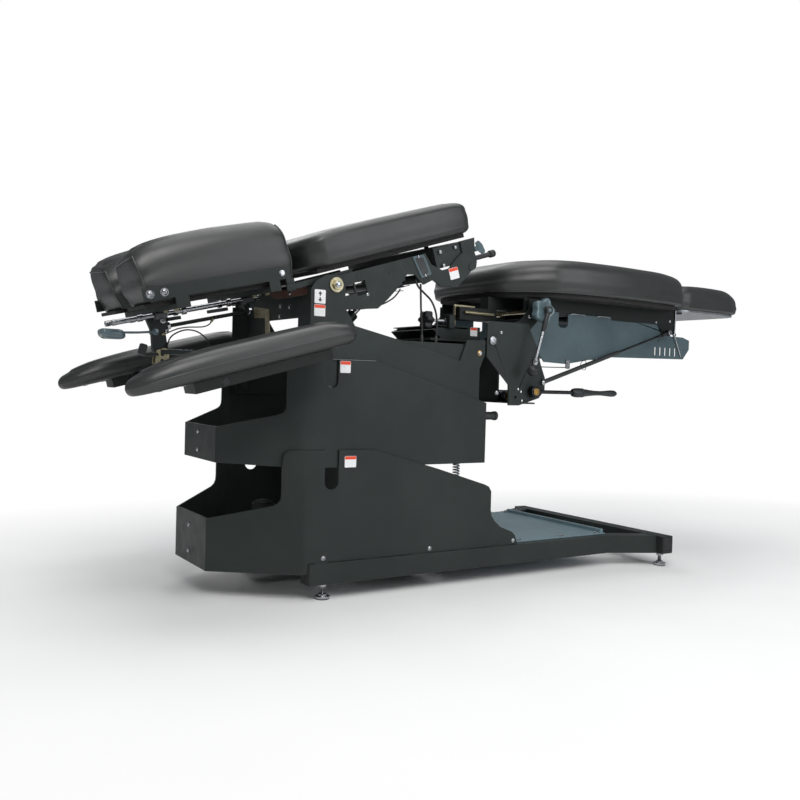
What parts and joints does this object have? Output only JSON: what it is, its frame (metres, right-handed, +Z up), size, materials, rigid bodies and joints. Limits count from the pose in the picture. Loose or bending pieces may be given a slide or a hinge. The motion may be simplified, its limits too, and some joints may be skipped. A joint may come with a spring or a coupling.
{
  "type": "chiropractic table",
  "caption": "Elevating chiropractic table with telescoping steel column, tilting chest and head sections, swinging armrests and a flexing, swivelling leg section.",
  "frame": {"origin": "centre of the footprint's bounding box at floor level", "axes": "+Z up, +X from the head end towards the foot end, -Y is the side with the hand lever"},
  "size_m": [1.9942, 0.718, 0.942],
  "materials": {
    "frame_black": "semi-gloss",
    "guard_paint": "semi-gloss",
    "vinyl": "satin",
    "zinc": "satin",
    "bright_steel": "polished",
    "knob_plastic": "gloss",
    "cable_jacket": "matte",
    "plywood": "matte",
    "motor_case": "satin"
  },
  "bodies": {
    "base": {"base_rails": "frame_black", "foot_crossbar": "frame_black", "floor_plate": "guard_paint", "levelling_feet": "bright_steel", "base_bolts": "bright_steel", "lower_housing": "frame_black", "lower_ties": "frame_black", "lift_motor": "motor_case", "lift_tube": "frame_black"},
    "mid_stage": {"middle_housing": "frame_black", "middle_ties": "frame_black", "middle_tube": "bright_steel", "cord_socket": "knob_plastic", "stage_spring": "bright_steel"},
    "top_stage": {"top_housing": "frame_black", "front_panel": "frame_black", "top_shelf": "frame_black", "lift_rod": "bright_steel", "pivot_pins": "zinc", "swivel_base": "frame_black"},
    "swivel": {"swivel_saddle": "frame_black", "tower_plates": "frame_black", "tower_shelf": "frame_black", "flexion_pins": "bright_steel"},
    "hand_lever": {"hand_lever": "knob_plastic"},
    "leg_section": {"leg_frame": "frame_black", "leg_board": "plywood", "leg_cushion": "vinyl", "guard_panels": "guard_paint", "leg_rods": "zinc"},
    "lobed_knob": {"lobed_knob": "knob_plastic"},
    "lock_lever": {"lock_lever": "bright_steel"},
    "star_knob": {"star_knob": "knob_plastic"},
    "strut_tube": {"strut_tube": "knob_plastic"},
    "strut_rod": {"strut_rod": "bright_steel"},
    "ankle_section": {"ankle_slide": "frame_black", "ankle_cushion": "vinyl"},
    "front_frame": {"chest_frame": "frame_black", "drop_box": "frame_black", "chest_ties": "frame_black", "bracket_cables": "cable_jacket"},
    "chest_drop": {"chest_board": "plywood", "chest_cushion": "vinyl"},
    "release_plunger": {"release_plunger": "knob_plastic"},
    "tension_knob": {"tension_knob": "knob_plastic"},
    "tilt_tube": {"tilt_strut": "frame_black"},
    "tilt_rod": {"tilt_strut_rod": "bright_steel"},
    "head_section": {"head_bars": "frame_black", "head_board": "plywood", "head_rods": "bright_steel", "head_bracket": "frame_black", "head_cable": "cable_jacket", "face_cushion_left": "vinyl", "face_cushion_right": "vinyl", "arm_carrier": "frame_black"},
    "head_lever": {"head_lever": "knob_plastic"},
    "arm_left": {"armrest_left": "vinyl", "arm_tray_left": "frame_black"},
    "arm_right": {"armrest_right": "vinyl", "arm_tray_right": "frame_black"}
  },
  "joints": [
    {"name": "first_lift", "type": "slide", "parent": "base", "child": "mid_stage", "axis": [0, 0, 1], "range_m": [-0.105, 0]},
    {"name": "second_lift", "type": "slide", "parent": "mid_stage", "child": "top_stage", "axis": [0, 0, 1], "range_m": [-0.105, 0]},
    {"name": "leg_swivel", "type": "hinge", "parent": "top_stage", "child": "swivel", "pos_m": [0.01, 0, 0.61], "axis": [0, 0, 1], "range_deg": [-15, 15]},
    {"name": "hand_lever_turn", "type": "hinge", "parent": "swivel", "child": "hand_lever", "pos_m": [0.09, -0.2275, 0.483], "axis": [0, 1, 0], "range_deg": [-15, 0]},
    {"name": "leg_flexion", "type": "hinge", "parent": "swivel", "child": "leg_section", "pos_m": [-0.047, 0, 0.611], "axis": [0, 1, 0], "range_deg": [0, 20]},
    {"name": "strut_pivot", "type": "hinge", "parent": "swivel", "child": "strut_tube", "pos_m": [0.126, -0.203, 0.504], "axis": [0, 1, 0], "range_deg": [0, 40]},
    {"name": "strut_stroke", "type": "slide", "parent": "strut_tube", "child": "strut_rod", "axis": [0.9506, 0, 0.3105], "range_m": [-0.06, 0]},
    {"name": "lobed_knob_turn", "type": "hinge", "parent": "leg_section", "child": "lobed_knob", "pos_m": [0.105, -0.234, 0.697], "axis": [0, 1, 0], "continuous": true},
    {"name": "lock_lever_turn", "type": "hinge", "parent": "leg_section", "child": "lock_lever", "pos_m": [0.105, -0.2565, 0.697], "axis": [0, 1, 0], "range_deg": [-20, 20]},
    {"name": "star_knob_turn", "type": "hinge", "parent": "swivel", "child": "star_knob", "pos_m": [-0.174, -0.1, 0.662], "axis": [1, 0, 0], "continuous": true},
    {"name": "ankle_slide_out", "type": "slide", "parent": "leg_section", "child": "ankle_section", "axis": [1, 0, 0], "range_m": [0, 0.11]},
    {"name": "front_tilt", "type": "hinge", "parent": "top_stage", "child": "front_frame", "pos_m": [-0.506, 0, 0.715], "axis": [0, 1, 0], "range_deg": [0, 17.5], "deforming": ["bracket_cables"]},
    {"name": "chest_drop", "type": "slide", "parent": "front_frame", "child": "chest_drop", "axis": [-0.3007, 0, 0.9537], "range_m": [-0.006, 0], "stiffness_N_per_m": 60000, "springref_m": 0.012},
    {"name": "release_press", "type": "slide", "parent": "front_frame", "child": "release_plunger", "axis": [0.9537, 0, 0.3007], "range_m": [-0.01, 0], "stiffness_N_per_m": 400, "springref_m": 0.012},
    {"name": "tension_turn", "type": "hinge", "parent": "front_frame", "child": "tension_knob", "pos_m": [-0.32075, -0.203, 0.72937], "axis": [-0.3007, 0, 0.9537], "continuous": true},
    {"name": "tilt_strut_pivot", "type": "hinge", "parent": "top_stage", "child": "tilt_tube", "pos_m": [-0.45, 0, 0.552], "axis": [0, 1, 0], "range_deg": [0, 20]},
    {"name": "tilt_strut_stroke", "type": "slide", "parent": "tilt_tube", "child": "tilt_rod", "axis": [0.6925, 0, 0.7214], "range_m": [-0.06, 0]},
    {"name": "head_tilt", "type": "hinge", "parent": "front_frame", "child": "head_section", "pos_m": [-0.60533, 0, 0.70413], "axis": [0, 1, 0], "range_deg": [-12, 10]},
    {"name": "head_lever_lift", "type": "hinge", "parent": "head_section", "child": "head_lever", "pos_m": [-0.85201, 0, 0.59697], "axis": [0, 1, 0], "range_deg": [0, 12]},
    {"name": "left_arm_turn", "type": "hinge", "parent": "head_section", "child": "arm_left", "pos_m": [-0.8081, 0.306, 0.49015], "axis": [0, 1, 0], "range_deg": [-15, 20]},
    {"name": "right_arm_turn", "type": "hinge", "parent": "head_section", "child": "arm_right", "pos_m": [-0.8081, -0.306, 0.49015], "axis": [0, 1, 0], "range_deg": [-15, 20]}
  ],
  "couplings": [
    {"joint": "second_lift", "follows": "first_lift", "ratio": 1},
    {"joint": "strut_pivot", "follows": "leg_flexion", "ratio": 1.308},
    {"joint": "strut_stroke", "follows": "leg_flexion", "m_per_rad": -0.12714},
    {"joint": "tilt_strut_pivot", "follows": "front_tilt", "ratio": 0.7548},
    {"joint": "tilt_strut_stroke", "follows": "front_tilt", "m_per_rad": -0.15974}
  ]
}
